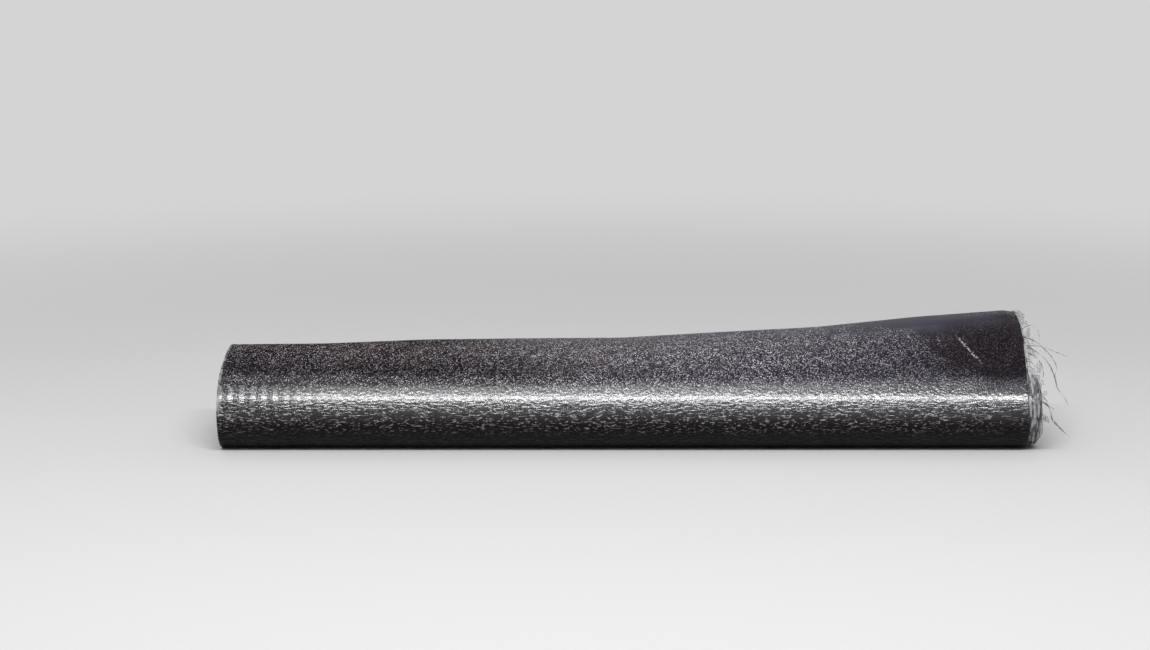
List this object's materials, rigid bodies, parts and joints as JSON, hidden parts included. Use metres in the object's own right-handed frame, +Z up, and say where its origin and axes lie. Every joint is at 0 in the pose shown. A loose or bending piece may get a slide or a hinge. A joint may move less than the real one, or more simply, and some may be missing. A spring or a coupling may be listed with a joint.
{
  "type": "roll of roofing felt",
  "caption": "Loose roll of roofing felt on its side, film face out: a tight coil with a carrying bore inside slack turns that rise to a crest over a flat tail.",
  "frame": {"origin": "on the floor, under the middle of the roll's box", "axes": "+X along the roll towards its high end, +Y back over the tail, +Z up"},
  "size_m": [1.015, 0.247, 0.154],
  "materials": {
    "felt_film": "glossy burn-off film over bitumen, finely pebbled",
    "felt_granules": "matt mineral granules pressed into bitumen",
    "felt_bitumen": "satin bare bitumen on cut edges and the lap strip",
    "torn_film": "clear thin film torn into shreds"
  },
  "bodies": {
    "root": {"felt_roll": "felt_film"}
  },
  "joints": []
}
